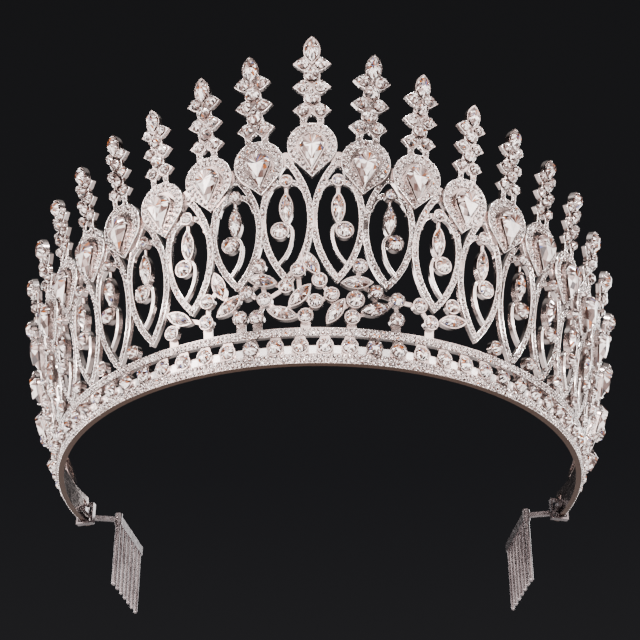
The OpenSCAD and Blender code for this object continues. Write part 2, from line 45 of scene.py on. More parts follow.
# The part's own values, as its source has them
BAND_R, CROWN_H, TIPS_OUT, STEP, SIDE = 80, 100.8, 16, 9.4, 11
BAND_H, BAND_LEAN, LOW_RAIL, HIGH_RAIL, PAVE_H, BAND_STONE_D = 10.2, 9.5, 5.2, 2.3, 2.8, 3.7
OVAL_RIM, OVAL_JOIN = 1.8, 0.45
MARQUISE_L, MARQUISE_W, OVAL_ROUND_D, OVAL_TOP_D = 8.3, 3, 4.2, 2.8
MEDALLION_R, MEDALLION_DROP, PEAR_R, PEAR_DROP = 7.1, 10, 3.45, 7.5
SPIKE_T, RELIEF_H, BUD_H, TIP_L, TIP_W, LEAF_L, LEAF_W = 1.2, 0.3, 0.6, 7.5, 4, 5.7, 4.6
STONE_GAP, BEZEL_T, STONE_H, PEAR_H, SEAT_UP = 0.12, 0.35, 2, 3, 0.1
GROW = BEZEL_T + STONE_GAP
STONE_Z = SEAT_UP + STONE_GAP
STRIP_T = 0.35
TIP, STONE, FOOT, TIERS, OUT, TURN, SIZE = range(7)
WALL = [
    (1.000, 0.617, 0.231, 3, 1.00, 0, 1),
    (0.943, 0.565, 0.221, 3, 1.00, 3.5, 1),
    (0.900, 0.539, 0.177, 3, 1.00, 1.5, 1),
    (0.839, 0.496, 0.123, 3, 1.00, 2, 1),
    (0.815, 0.481, 0.095, 3, 1.00, 0, 1),
    (0.786, 0.467, 0.095, 3, 0.94, 0, 1),
    (0.758, 0.443, 0.095, 3, 0.90, 0, 1),
    (0.706, 0.411, 0.095, 2, 0.85, 0, 1),
    (0.655, 0.373, 0.095, 2, 0.84, 0, 1),
    (0.595, 0.334, 0.095, 2, 0.84, 0, 0.95),
    (0.503, 0.285, 0.095, 1, 0.86, 0, 0.86),
    (0.379, 0.216, 0.095, 0, 0.95, 0, 0.75),
]
MARQUISE, ROUND = 0, 1
SPRAY = [
    (ROUND, -2.98, 0.141, 1),
    (MARQUISE, -2.78, 0.176, -30),
    (ROUND, -2.18, 0.146, 1),
    (ROUND, -2.14, 0.206, 1),
    (MARQUISE, -1.88, 0.244, -75),
    (MARQUISE, -1.68, 0.181, 36),
    (ROUND, -1.46, 0.141, 1),
    (ROUND, -1.32, 0.212, 1),
    (ROUND, -1.12, 0.138, 1),
    (ROUND, -0.95, 0.188, 1),
    (MARQUISE, -1.00, 0.244, -15),
    (ROUND, -1.06, 0.288, 1),
    (MARQUISE, -0.60, 0.144, -18),
    (ROUND, -0.52, 0.223, 1),
    (ROUND, -0.28, 0.269, 1),
    (MARQUISE, -0.25, 0.193, 47),
    (ROUND, -0.14, 0.135, 1),
    (MARQUISE, -0.04, 0.289, -58),
    (ROUND, 0.06, 0.176, 1),
    (ROUND, 0.14, 0.238, 1),
    (ROUND, 0.38, 0.196, 1),
    (MARQUISE, 0.46, 0.147, 57),
    (ROUND, 0.79, 0.132, 1),
    (ROUND, 0.85, 0.183, 1.25),
    (MARQUISE, 0.88, 0.233, 5),
    (ROUND, 0.94, 0.283, 1),
    (ROUND, 1.26, 0.209, 1),
    (MARQUISE, 1.25, 0.159, 15),
    (ROUND, 1.70, 0.136, 1),
    (ROUND, 1.70, 0.193, 1),
    (ROUND, 2.17, 0.188, 1),
    (ROUND, 2.42, 0.144, 1),
    (ROUND, 2.88, 0.205, 1),
    (MARQUISE, 2.90, 0.161, 12),
] + [(ROUND, side * k, 0.127, 1) for k in range(4, SIDE - 1) for side in (-1, 1)]
SPRAY_D, SPRAY_L, SPRAY_W = 3.3, 0.87 * MARQUISE_L, 0.97 * MARQUISE_W
FULL_OVAL_H, TOP_DROP, ARCH_DROP, ARCH_R = 38, 8, 13.4, 4.8
MARQUISE_DROP, ROUND_DROP, ROUND_SIDE = 16.6, 23.3, 1.8
TURN_R, SWEEP_R, SCROLL_OUT = 2.8, 13.2, 0.6
OVAL_TOP_UP, HALO_UP, PEAR_UP, NECK_UP = 2.8, 3.2, 2.5, 9.6
LEAF_PITCH, LEAF_DROP, LEAF_SIDE, BUD_D = 7.4, 8.8, 2.1, 4.9
LEG_SIDE, LEG_W = 2.4, 2
SPIKE_Z = -0.6
PLATE_TOP = SPIKE_Z + SPIKE_T
PEAR_SEAT = PLATE_TOP + 1


def sin(a):
    return math.sin(math.radians(a))


def cos(a):
    return math.cos(math.radians(a))


BAND_TOP_R = BAND_R + BAND_H * sin(BAND_LEAN)
BAND_TOP_Z = BAND_H * cos(BAND_LEAN)
BAND_END = (SIDE + 0.45) * STEP
BAND_STONE_S = LOW_RAIL - 0.3
BAND_STEP = STEP / 2


# Places on the crown, as in its source
def move(x, y, z=0.0):
    return Matrix.Translation((x, y, z))


def turn(axis, angle):
    return Matrix.Rotation(math.radians(angle), 4, axis)


def wall_row(u):
    return WALL[min(int(abs(u)), SIDE)]


def share(u, column):
    a, b = WALL[min(math.floor(abs(u)), SIDE)], WALL[min(math.ceil(abs(u)), SIDE)]
    return (a[column] + b[column]) / 2


def stone_s(k):
    return CROWN_H * wall_row(k)[STONE]


def oval_top(u):
    return CROWN_H * share(u, STONE) + OVAL_TOP_UP


def oval_foot(u):
    return CROWN_H * wall_row(math.floor(abs(u)))[FOOT]


def oval_h(u):
    return oval_top(u) - oval_foot(u)


def oval_scale(u):
    return min(1, oval_h(u) / FULL_OVAL_H)


def lean(u):
    out = BAND_R + TIPS_OUT * share(u, OUT)
    return math.degrees(math.asin((out - BAND_TOP_R) / (CROWN_H * share(u, TIP) - BAND_H)))


def wall_r(u, s):
    return BAND_TOP_R + (s - BAND_H) * sin(lean(u))


def oval_w(u):
    mid = (oval_top(u) + oval_foot(u)) / 2
    return 2 * (wall_r(u, mid) * math.tan(math.radians(STEP / 2)) + OVAL_JOIN)


def on_wall(u, s):
    return (
        turn("Z", u * STEP) @ move(0, -BAND_TOP_R, BAND_TOP_Z) @ turn("X", lean(u))
        @ move(0, 0, s - BAND_H) @ turn("X", 90)
    )


def sign(v):
    return (v > 0) - (v < 0)


def on_spike(k):
    return on_wall(k, stone_s(k)) @ turn("Z", -sign(k) * wall_row(k)[TURN])


def on_band(angle, s):
    return (
        turn("Z", angle) @ move(0, -BAND_R, 0) @ turn("X", BAND_LEAN)
        @ move(0, 0, s) @ turn("X", 90)
    )


def on_row(row):
    return on_wall(row[1], row[2] * CROWN_H) @ turn("Z", row[3] - 90 if row[0] == MARQUISE else 0)


def tip_up(k):
    return CROWN_H * (wall_row(k)[TIP] - wall_row(k)[STONE])


def leaf_pitch(k):
    return (tip_up(k) - NECK_UP * wall_row(k)[SIZE] - 6) / max(1, wall_row(k)[TIERS])


def spike_scale(k):
    if wall_row(k)[TIERS] == 0:
        return 0.85
    return min(1, max(0.78, leaf_pitch(k) / LEAF_PITCH))


def tip_stone_up(k):
    return tip_up(k) - TIP_L * spike_scale(k) / 2 - 2 * GROW


def leaf_up(k, tier):
    return tip_up(k) - LEAF_DROP * spike_scale(k) - tier * leaf_pitch(k)


def oval_place(u, x, drop):
    f = oval_scale(u)
    return (-1 if u < 0 else 1) * x * f, oval_top(u) - drop * f - BAND_H


SPIKES = range(-SIDE, SIDE + 1)
OVALS = [k + 0.5 for k in range(-SIDE, SIDE)]
BAND_STONES = range(-2 * SIDE, 2 * SIDE)


# Flat shapes as signed distances, below zero inside
def sd_marquise(x, y, l, w):
    r = (l * l + w * w) / (4 * w)
    return np.maximum(np.hypot(x - (w / 2 - r), y), np.hypot(x + (w / 2 - r), y)) - r


def sd_disc(x, y, d):
    return np.hypot(x, y) - d / 2


def sd_bar(x, y, a, b, w):
    (ax, ay), (bx, by) = a, b
    length = math.hypot(bx - ax, by - ay)
    ux, uy = (bx - ax) / length, (by - ay) / length
    px, py = x - (ax + bx) / 2, y - (ay + by) / 2
    return np.maximum(np.abs(px * ux + py * uy) - length / 2, np.abs(py * ux - px * uy) - w / 2)


SIDE_IN = 0.99


def sd_teardrop(x, y, r, drop):
    q = SIDE_IN * r
    s = q / drop
    c = math.sqrt(1 - s * s)
    cone = np.maximum(np.abs(x) * c - y * s - q, y + q * s)
    return np.minimum(np.hypot(x, y) - r, cone)


def turned(x, y, angle):
    c, s = cos(angle), sin(angle)
    return x * c + y * s, y * c - x * s


def sd_leaves(k, x, y, grow=0.0):
    g = spike_scale(k)
    d = np.full(np.shape(x), 1e3)
    for tier in range(wall_row(k)[TIERS]):
        for side in (-1, 1):
            px, py = turned(x - side * LEAF_SIDE * g, y - leaf_up(k, tier), side * 90)
            r = LEAF_W / 2 * g
            d = np.minimum(d, sd_teardrop(px, py, r + grow / 2, LEAF_L * g - r + 0.7 * grow))
    return d


def sd_buds(k, x, y):
    d = np.full(np.shape(x), 1e3)
    for tier in range(wall_row(k)[TIERS] - 1):
        d = np.minimum(d, sd_disc(x, y - leaf_up(k, tier) + leaf_pitch(k) / 2, BUD_D * spike_scale(k)))
    return d


def sd_tip(k, x, y, grow):
    g = spike_scale(k)
    return sd_marquise(x, y - tip_stone_up(k), TIP_L * g + 4 * grow, TIP_W * g + 2 * grow)


def sd_medallion(k, x, y):
    m = wall_row(k)[SIZE]
    return sd_teardrop(x, y - HALO_UP * m, MEDALLION_R * m, MEDALLION_DROP * m)


def sd_spike(k, x, y):
    g, m, tiers = spike_scale(k), wall_row(k)[SIZE], wall_row(k)[TIERS]
    last = max(0, tiers - 1)
    leg_top = tip_up(k) - TIP_L * g if tiers == 0 else leaf_up(k, last)
    d = np.minimum(np.minimum(sd_leaves(k, x, y), sd_buds(k, x, y)), sd_tip(k, x, y, GROW))
    for side in (-1, 1):
        px = side * LEG_SIDE * g
        d = np.minimum(d, sd_bar(x, y, (px, NECK_UP * m - 1.5), (px, leg_top), LEG_W * g))
    d = np.minimum(d, sd_bar(x, y, (0, leg_top - 0.5), (0, tip_stone_up(k)), LEG_W * g))
    return np.minimum(d, sd_medallion(k, x, y))


def oval_arch(u):
    """Height of an oval's arch, the opening's half width there, and the arch's inner radius."""
    l, w, f = oval_h(u), oval_w(u), oval_scale(u)
    r = (l * l + w * w) / (4 * w)
    half = math.sqrt((r - OVAL_RIM) ** 2 - (l / 2 - f * ARCH_DROP) ** 2) - r + w / 2
    return oval_top(u) - BAND_H - f * ARCH_DROP, half, min(f * ARCH_R, half)


def sd_oval(u, x, y):
    """The oval's rim, arch and web, with y measured up the wall from the band's top."""
    l, w, top = oval_h(u), oval_w(u), oval_top(u) - BAND_H
    outer = sd_marquise(x, y - top + l / 2, l, w)
    d = np.maximum(outer, -outer - OVAL_RIM)
    cy, half, inner = oval_arch(u)
    reach = max(inner + 1.4, half + 0.5)
    ring = np.hypot(x, y - cy)
    arch = np.maximum(np.maximum(ring - reach, inner - ring), np.maximum(outer, cy - y))
    return np.minimum(d, np.minimum(arch, sd_disc(x, y - top + 1, 4.4)))


# Collecting geometry
class Parts:
    """Joined geometry of one piece: points, faces, and a colour for each face, a painted reflection on
    stones.
    """

    def __init__(self):
        self.points, self.faces, self.colours, self.count = [], [], [], 0

    def add(self, place, points, faces, colours=None):
        p = np.asarray(points, float)
        m = np.array(place)
        self.points.append(p @ m[:3, :3].T + m[:3, 3])
        base = self.count
        self.faces += [tuple(base + i for i in f) for f in faces]
        self.colours += colours if colours else [(1, 1, 1)] * len(faces)
        self.count += len(p)

    def make(self, name, material, smooth=False, slot="stone"):
        mesh = bpy.data.meshes.new(name)
        mesh.from_pydata((np.concatenate(self.points) * MM).tolist(), [], self.faces)
        sizes = [len(f) for f in self.faces]
        values = np.repeat(np.array(self.colours, float), sizes, axis=0)
        layer = mesh.color_attributes.new("painted_facet_reflection", "FLOAT_COLOR", "CORNER")
        layer.data.foreach_set("color", np.c_[values, np.ones(len(values))].ravel())
        mesh.polygons.foreach_set("use_smooth", [smooth] * len(mesh.polygons))
        mesh.materials.append(material)
        mesh.validate()
        mesh.update()
        piece = bpy.data.objects.new(name, mesh)
        bpy.context.scene.collection.objects.link(piece)
        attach(piece, "root")
        return piece


# Cut stones. The facet colours below are painted reflections, from white glints to near-black facets.
WHITE, PALE, ROSE = (1.0, 0.97, 0.96), (0.34, 0.268, 0.253), (0.13, 0.08, 0.071)
GREY, BROWN, AMBER = (0.06, 0.052, 0.056), (0.035, 0.013, 0.008), (0.30, 0.09, 0.02)
DARK, BLUE, TAUPE = (0.004, 0.003, 0.004), (0.10, 0.13, 0.30), (0.10, 0.074, 0.07)
WHITE_TABLE_REFLECTION = [(WHITE, 88), (PALE, 12)]
UPPER_REFLECTIONS = [(ROSE, 24), (PALE, 20), (BROWN, 20), (AMBER, 16), (GREY, 8), (WHITE, 5), (BLUE, 3), (DARK, 4)]
PEAR_UPPER_REFLECTIONS = [(ROSE, 30), (PALE, 30), (BROWN, 8), (AMBER, 10), (GREY, 8), (WHITE, 8), (BLUE, 3), (DARK, 3)]
LOWER_REFLECTIONS = [(WHITE, 62), (PALE, 22), (ROSE, 8), (GREY, 4), (DARK, 3), (BLUE, 1)]
BEAD_TABLE_REFLECTIONS = [(ROSE, 28), (PALE, 14), (TAUPE, 26), (GREY, 14), (BROWN, 10), (AMBER, 2), (WHITE, 6)]
BEAD_RING_REFLECTIONS = [(WHITE, 26), (PALE, 22), (TAUPE, 22), (GREY, 8), (DARK, 22)]
MIXED_REFLECTIONS = [(WHITE, 24), (PALE, 28), (ROSE, 20), (GREY, 13), (BROWN, 7), (AMBER, 2), (DARK, 6)]
LEAF_REFLECTIONS = [(WHITE, 30), (PALE, 20), (ROSE, 20), (TAUPE, 10), (BROWN, 8), (AMBER, 2), (DARK, 10)]


def pick(rng, looks):
    colour = rng.choices([c for c, _ in looks], [n for _, n in looks])[0]
    f = rng.uniform(0.88, 1.04)
    return tuple(min(1, c * f) for c in colour)


def round_outline(d, n=16):
    return [(d / 2 * cos(360 * i / n), d / 2 * sin(360 * i / n)) for i in range(n)]


def marquise_outline(l, w, steps=9):
    r = (l * l + w * w) / (4 * w)
    half = math.degrees(math.asin(l / 2 / r))
    side = [(r * cos(a) - r + w / 2, r * sin(a))
            for a in (half * (2 * i / steps - 1) for i in range(steps))]
    return side + [(-x, -y) for x, y in side]


def teardrop_outline(r, drop, steps=16):
    low = -math.degrees(math.asin(SIDE_IN * r / drop) + math.acos(SIDE_IN))
    ring = [(r * cos(a), r * sin(a))
            for a in (low + (180 - 2 * low) * i / steps for i in range(steps + 1))]
    x, y = ring[0]
    return ring + [(-x / 2, (y - drop) / 2), (0, -drop), (x / 2, (y - drop) / 2)]


def cut_stone(parts, place, outline, h, rng, middle=(0, 0), table=0.56, looks=None,
              upper_reflections=UPPER_REFLECTIONS, white_reflection_to=0.42):
    """A cut stone on a flat seat: pavilion, girdle, two rows of crown facets, stars, and a
    table that shows the pavilion's facets. Each facet's colour is a painted reflection: mostly
    white low on the crown and on the table's lower part, darker higher up."""
    n = len(outline)
    c = np.array(middle, float)
    o = np.array(outline, float)
    mid = (o + np.roll(o, -1, axis=0)) / 2

    def ring(points, size, z):
        return np.c_[c + (points - c) * size, np.full(n, z)]

    # Each ring's size is a share of the outline's, and its height one of the stone's
    points = np.concatenate([
        ring(o, 0.72, 0),
        ring(o, 1, 0.36 * h),
        ring(o, 1, 0.42 * h),
        ring(mid, 0.83, 0.72 * h),
        ring(o, table, h),
        ring(mid, 0.52 * table, 0.985 * h),
        [[c[0], c[1], 0.97 * h]],
        [[c[0], c[1], 0]],
    ])
    top, bottom = 6 * n, 6 * n + 1
    low, high = o[:, 1].min(), o[:, 1].max()
    faces, colours = [], []

    def face(kind, *f):
        faces.append(f)
        y = np.mean([points[i][1] for i in f])
        t = (y - low) / (high - low)
        # Painted reflections: low facets mostly take the white palette, high ones the darker palette.
        if looks:
            shown = looks
        elif kind == "crown":
            shown = LOWER_REFLECTIONS if rng.random() > t * 0.9 + 0.12 else upper_reflections
        elif kind == "table":
            shown = WHITE_TABLE_REFLECTION if t < white_reflection_to + rng.uniform(-0.06, 0.06) else upper_reflections
        else:
            shown = MIXED_REFLECTIONS
        colours.append(pick(rng, shown))

    for i in range(n):
        j, k = (i + 1) % n, (i - 1) % n
        face("side", bottom, j, i)
        face("side", i, j, n + j, n + i)
        face("side", n + i, n + j, 2 * n + j, 2 * n + i)
        face("crown", 2 * n + i, 2 * n + j, 3 * n + i)
        face("crown", 2 * n + i, 3 * n + i, 4 * n + i, 3 * n + k)
        face("crown", 3 * n + i, 4 * n + j, 4 * n + i)
        face("table", 4 * n + i, 4 * n + j, 5 * n + i)
        face("table", 4 * n + i, 5 * n + i, top, 5 * n + k)
    parts.add(place, points, faces, colours)


def claw(parts, place, x, y, girdle, inward=(0, 0), size=1.0):
    """A prong at the girdle, bent over the crown towards the stone's middle."""
    d = Vector((inward[0] - x, inward[1] - y)).normalized()
    # Along towards the middle, height and radius
    line = [
        (-0.3, -0.2, 0.30),
        (-0.24, girdle + 0.05, 0.28),
        (0.02, girdle + 0.4, 0.24),
        (0.42, girdle + 0.62, 0.13),
    ]
    n = 6
    points = []
    for inner, z, r in line:
        inner, r = inner * size, r * size
        for i in range(n):
            a = 360 * i / n
            lift = r * sin(a)
            points.append((
                x + d.x * (inner - 0.5 * lift) - d.y * r * cos(a),
                y + d.y * (inner - 0.5 * lift) + d.x * r * cos(a),
                z + 0.6 * lift,
            ))
    faces = [tuple(range(3 * n, 4 * n))]
    for k in range(3):
        for i in range(n):
            j = (i + 1) % n
            faces.append((k * n + i, k * n + j, (k + 1) * n + j, (k + 1) * n + i))
    parts.add(place, points, faces)


# Pave. A stone's heights and table are shares of its size.
PAVE_SIDES, PAVE_TILT, PAVE_SINK = 8, 4, 0.12
PAVE_GIRDLE_UP, PAVE_TABLE_UP, PAVE_MIDDLE_UP, PAVE_TABLE_SIZE = 0.06, 0.24, 0.2, 0.66
GRAIN_R, GRAIN_SIDES, GRAIN_OUT = 0.16, 5, 0.12


class Pave:
    """Small stones placed one by one, each smaller or left out where another is near."""

    def __init__(self, seed):
        self.rng = random.Random(seed)
        self.stones, self.cells = [], {}
        self.parts, self.grains = Parts(), Parts()

    def near(self, p):
        c = tuple(int(v // 2) for v in p)
        for dx in (-1, 0, 1):
            for dy in (-1, 0, 1):
                for dz in (-1, 0, 1):
                    yield from self.cells.get((c[0] + dx, c[1] + dy, c[2] + dz), ())

    def block(self, p, r):
        self.cells.setdefault(tuple(int(v // 2) for v in p), []).append((p, r))

    def put(self, place, x, y, z, d, smallest, angle=None):
        p = place @ Vector((x, y, z))
        for q, r in self.near(p):
            room = 2 * ((p - q).length - r) * 1.04
            if room < d:
                d = room
        if d < smallest:
            return
        self.block(p, d / 2)
        rng = self.rng
        n, step = PAVE_SIDES, 360 / PAVE_SIDES
        spin = rng.uniform(0, step) if angle is None else angle
        here = place @ move(x, y, z) @ turn("Z", spin) @ turn("X", rng.uniform(-PAVE_TILT, PAVE_TILT))
        here = here @ turn("Y", rng.uniform(-PAVE_TILT, PAVE_TILT))

        def ring(r, first, up):
            return [(r * cos(step * i + first), r * sin(step * i + first), up) for i in range(n)]

        points = ring(d / 2, 0, -PAVE_SINK) + ring(d / 2, 0, PAVE_GIRDLE_UP * d)
        points += ring(PAVE_TABLE_SIZE * d / 2, step / 2, PAVE_TABLE_UP * d)
        points.append((0, 0, PAVE_MIDDLE_UP * d))
        faces, colours = [], []
        # Painted reflections on each stone's facets, with two table facets painted white as a glint.
        table = pick(rng, BEAD_TABLE_REFLECTIONS)
        painted_glint = rng.randrange(n)
        for i in range(n):
            j = (i + 1) % n
            faces += [(i, j, n + j, n + i), (n + i, n + j, 2 * n + i), (n + j, 2 * n + j, 2 * n + i)]
            colours += [pick(rng, BEAD_RING_REFLECTIONS) for _ in range(3)]
            faces.append((2 * n + i, 2 * n + j, 3 * n))
            f = rng.uniform(0.75, 1.15)
            colours.append(WHITE if (i - painted_glint) % n < 2 else tuple(min(1, c * f) for c in table))
        self.parts.add(here, points, faces, colours)
        self.stones.append((place, x, y, z, d))

    def grain(self, place, x, y, z):
        """A small bead of metal, left out where it would touch a stone."""
        r, n, step = GRAIN_R, GRAIN_SIDES, 360 / GRAIN_SIDES
        p = place @ Vector((x, y, z))
        for q, reach in self.near(p):
            if (p - q).length < reach + 0.3 * r:
                return
        points = [(r * cos(step * i), r * sin(step * i), -0.1) for i in range(n)]
        points += [(0.75 * r * cos(step * i), 0.75 * r * sin(step * i), 0.75 * r + 0.05) for i in range(n)]
        points.append((0, 0, r + 0.1))
        faces = []
        for i in range(n):
            j = (i + 1) % n
            faces += [(i, j, n + j, n + i), (n + i, n + j, 2 * n)]
        self.grains.add(place @ move(x, y, z), points, faces)

    def add_grains(self):
        for place, x, y, z, d in self.stones:
            for a in (45, 135, 225, 315):
                r = d / 2 + GRAIN_OUT
                self.grain(place, x + r * cos(a), y + r * sin(a), z)
                self.block(place @ Vector((x + r * cos(a), y + r * sin(a), z)), GRAIN_R)


def along(points, pitch, closed=False):
    """Evenly spaced points on a polyline, with the direction at each."""
    p = np.array(points, float)
    if closed:
        p = np.concatenate([p, p[:1]])
    seg = np.hypot(*np.diff(p, axis=0).T)
    total = seg.sum()
    n = max(1, round(total / pitch))
    at = np.concatenate([[0], np.cumsum(seg)])
    marks = (np.arange(n) + (0 if closed else 0.5)) * total / n
    x, y = np.interp(marks, at, p[:, 0]), np.interp(marks, at, p[:, 1])
    index = np.clip(np.searchsorted(at, marks, "right") - 1, 0, len(seg) - 1)
    d = np.diff(p, axis=0)[index]
    return [(a, b, math.degrees(math.atan2(v, u))) for a, b, (u, v) in zip(x, y, d)]


def outline_of(distance, x0, x1, y0, y1, level, cell=0.3):
    """Closed lines where a signed distance has a value, by marching squares."""
    xs = np.arange(x0, x1 + cell, cell)
    ys = np.arange(y0, y1 + cell, cell)
    gx, gy = np.meshgrid(xs, ys)
    f = distance(gx, gy) - level
    f[np.abs(f) < 1e-9] = 1e-9
    inside = f < 0
    links = {}

    def cross(i, j, k, l):
        t = f[j, i] / (f[j, i] - f[l, k])
        return (xs[i] + (xs[k] - xs[i]) * t, ys[j] + (ys[l] - ys[j]) * t)

    where = {}
    mixed = inside[:-1, :-1].astype(int) + inside[1:, :-1] + inside[:-1, 1:] + inside[1:, 1:]
    for j, i in zip(*np.nonzero((mixed > 0) & (mixed < 4))):
        corners = [(i, j), (i + 1, j), (i + 1, j + 1), (i, j + 1)]
        ends = []
        for a in range(4):
            (p, q), (r, s) = corners[a], corners[(a + 1) % 4]
            if inside[q, p] != inside[s, r]:
                key = (min((p, q), (r, s)), max((p, q), (r, s)))
                where[key] = cross(p, q, r, s)
                ends.append(key)
        for a in range(0, len(ends) - 1, 2):
            links.setdefault(ends[a], []).append(ends[a + 1])
            links.setdefault(ends[a + 1], []).append(ends[a])
    lines, seen = [], set()
    for start in links:
        if start in seen:
            continue
        line, here = [], start
        while here is not None and here not in seen:
            seen.add(here)
            line.append(where[here])
            here = next((k for k in links[here] if k not in seen), None)
        if len(line) > 8:
            lines.append(line)
    return lines


WIRE_SINK = 0.15


def edge_wire(parts, place, line, heights, r, pitch=0.55, closed=True, sides=5):
    """A half-round wire laid along a line, on a height that may change along it."""
    p = np.array(line, float)
    for _ in range(2):
        if closed:
            p = (np.roll(p, 1, axis=0) + 2 * p + np.roll(p, -1, axis=0)) / 4
    spots = along(p, pitch, closed)
    n = len(spots)
    if n < 3:
        return
    q = np.array([(x, y) for x, y, _ in spots])
    if closed:
        t = np.roll(q, -1, axis=0) - np.roll(q, 1, axis=0)
    else:
        t = np.gradient(q, axis=0)
    t /= np.hypot(*t.T)[:, None] + 1e-9
    z = heights(q[:, 0], q[:, 1]) if callable(heights) else np.full(n, heights)
    points = []
    for (x, y), (tx, ty), h in zip(q, t, z):
        for i in range(sides):
            a = 180 * i / (sides - 1)
            sink = WIRE_SINK if i in (0, sides - 1) else 0
            points.append((x - ty * r * cos(a), y + tx * r * cos(a), h + 1.1 * r * sin(a) - sink))
    faces = []
    for k in range(n if closed else n - 1):
        m = (k + 1) % n
        for i in range(sides - 1):
            faces.append((k * sides + i, k * sides + i + 1, m * sides + i + 1, m * sides + i)[::-1])
    parts.add(place, points, faces)


# Materials
def principled(name):
    material = bpy.data.materials.new(name)
    material.use_nodes = True
    tree = material.node_tree
    return material, tree, tree.nodes["Principled BSDF"]


def add_node(tree, kind, **values):
    node = tree.nodes.new(kind)
    for key, value in values.items():
        if key in node.inputs:
            node.inputs[key].default_value = value
        else:
            setattr(node, key, value)
    return node


def coords(tree, scale):
    c = add_node(tree, "ShaderNodeTexCoord")
    m = add_node(tree, "ShaderNodeMapping")
    m.inputs["Scale"].default_value = (scale,) * 3
    tree.links.new(c.outputs["Object"], m.inputs["Vector"])
    return m.outputs["Vector"]


def ramp(tree, source, stops):
    node = add_node(tree, "ShaderNodeValToRGB")
    tree.links.new(source, node.inputs["Fac"])
    e = node.color_ramp.elements
    while len(e) < len(stops):
        e.new(0.5)
    for item, (at, colour) in zip(e, stops):
        item.position = at
        item.color = (*colour, 1)
    return node.outputs["Color"]


def metal(name, light, dark, rough, grain, bump, under=None):
    """Plated or plain metal. The lowest faces, which look straight down, take the colour under, as painted
    shade.
    """
    material, tree, shader = principled(name)
    noise = add_node(tree, "ShaderNodeTexNoise", Scale=1.0, Detail=4.0, Roughness=0.6)
    tree.links.new(coords(tree, grain), noise.inputs["Vector"])
    cloud = add_node(tree, "ShaderNodeTexNoise", Scale=1.0, Detail=3.0)
    tree.links.new(coords(tree, 130), cloud.inputs["Vector"])
    colour = ramp(tree, cloud.outputs["Fac"], [(0.35, dark), (0.6, light)])
    # Painted shade: faces at the band's foot that look straight down take the dark colour under.
    if under:
        way = add_node(tree, "ShaderNodeSeparateXYZ")
        tree.links.new(add_node(tree, "ShaderNodeNewGeometry").outputs["Normal"], way.inputs["Vector"])
        down = add_node(tree, "ShaderNodeMath", operation="MULTIPLY")
        down.inputs[1].default_value = -1
        tree.links.new(way.outputs["Z"], down.inputs[0])
        mix = add_node(tree, "ShaderNodeMix", data_type="RGBA")
        grey = ramp(tree, down.outputs["Value"], [(0.75, (0, 0, 0)), (0.92, (1, 1, 1))])
        height = add_node(tree, "ShaderNodeSeparateXYZ")
        tree.links.new(coords(tree, 1), height.inputs["Vector"])
        low = add_node(tree, "ShaderNodeMath", operation="LESS_THAN")
        low.inputs[1].default_value = 2 * MM
        tree.links.new(height.outputs["Z"], low.inputs[0])
        underside_shade_mask = add_node(tree, "ShaderNodeMath", operation="MULTIPLY")
        tree.links.new(grey, underside_shade_mask.inputs[0])
        tree.links.new(low.outputs["Value"], underside_shade_mask.inputs[1])
        tree.links.new(underside_shade_mask.outputs["Value"], mix.inputs["Factor"])
        tree.links.new(colour, mix.inputs["A"])
        mix.inputs["B"].default_value = (*under, 1)
        colour = mix.outputs["Result"]
    tree.links.new(colour, shader.inputs["Base Color"])
    grey = [(0.3, (rough[0],) * 3), (0.7, (rough[1],) * 3)]
    tree.links.new(ramp(tree, noise.outputs["Fac"], grey), shader.inputs["Roughness"])
    b = add_node(tree, "ShaderNodeBump", Strength=bump, Distance=0.0001)
    tree.links.new(noise.outputs["Fac"], b.inputs["Height"])
    tree.links.new(b.outputs["Normal"], shader.inputs["Normal"])
    shader.inputs["Metallic"].default_value = 1.0
    return material


def glass(name, rough, coat, cells, metallic):
    """Foil-backed cut glass: each facet's colour is a painted reflection, broken up inside."""
    material, tree, shader = principled(name)
    facet = add_node(tree, "ShaderNodeVertexColor", layer_name="painted_facet_reflection")
    cell = add_node(tree, "ShaderNodeTexVoronoi", Scale=1.0)
    cell.feature = "F1"
    tree.links.new(coords(tree, cells), cell.inputs["Vector"])
    spread = add_node(tree, "ShaderNodeSeparateColor")
    tree.links.new(cell.outputs["Color"], spread.inputs["Color"])
    shades = [(0.0, (0.72, 0.66, 0.64)), (0.3, (0.95, 0.93, 0.92)), (1.0, (1.0, 1.0, 1.0))]
    tint = ramp(tree, spread.outputs["Red"], shades)
    mix = add_node(tree, "ShaderNodeMix", data_type="RGBA", blend_type="MULTIPLY")
    mix.inputs["Factor"].default_value = 0.8
    tree.links.new(facet.outputs["Color"], mix.inputs["A"])
    tree.links.new(tint, mix.inputs["B"])
    tree.links.new(mix.outputs["Result"], shader.inputs["Base Color"])
    grey = ramp(tree, spread.outputs["Green"], [(0, (rough[0],) * 3), (1, (rough[1],) * 3)])
    tree.links.new(grey, shader.inputs["Roughness"])
    shader.inputs["Metallic"].default_value = metallic
    shader.inputs["IOR"].default_value = 1.56
    shader.inputs["Coat Weight"].default_value = coat
    shader.inputs["Coat Roughness"].default_value = 0.02
    return material


SILVER = metal(
    "bright_silver_plate", (0.60, 0.515, 0.495), (0.30, 0.245, 0.23), (0.12, 0.26), 900, 0.12,
    under=(0.07, 0.035, 0.022),
)
POLISHED = metal("polished_silver_edge", (0.95, 0.905, 0.89), (0.88, 0.83, 0.815), (0.08, 0.16), 600, 0.05)
COMB_WIRE = metal("comb_steel_wire", (0.24, 0.215, 0.22), (0.15, 0.13, 0.135), (0.2, 0.34), 700, 0.2)
BRIGHT_PAINTED_HIGHLIGHT = metal("bright_square", (1.0, 0.98, 0.975), (0.97, 0.945, 0.94), (0.08, 0.16), 600, 0.03)
